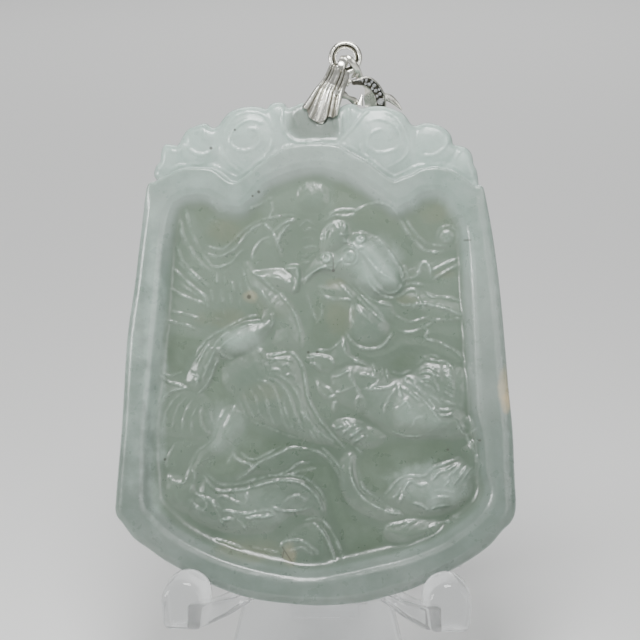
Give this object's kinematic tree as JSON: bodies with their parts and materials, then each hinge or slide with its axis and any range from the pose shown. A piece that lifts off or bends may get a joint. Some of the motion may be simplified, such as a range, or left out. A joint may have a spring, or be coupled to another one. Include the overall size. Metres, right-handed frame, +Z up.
{
  "type": "jade pendant on a clear display stand",
  "caption": "Carved jade dragon and phoenix plaque with a small silver bail, leaning back on a clear two-armed display stand.",
  "frame": {"origin": "on the surface that the stand stands on, under the middle of the whole model", "axes": "the carved face looks towards -Y and leans back, +X is to the right as seen from the front, +Z is up"},
  "size_m": [0.0459, 0.0354, 0.0769],
  "materials": {
    "jade": "polished pale grey-green jade",
    "silver": "polished silver",
    "clear_stone": "cut and polished",
    "clear_acrylic": "clear and polished"
  },
  "bodies": {
    "base": {"jade_plaque": "jade", "display_stand": "clear_acrylic"},
    "bail": {"pinch_bail": "silver", "bail_stones": "clear_stone", "chain_ring": "silver"}
  },
  "joints": [
    {"name": "bail_swing", "type": "hinge", "parent": "base", "child": "bail", "pos_m": [0.00054, 0.00698, 0.06844], "axis": [0, -0.9511, 0.309], "range_deg": [0, 50]}
  ]
}
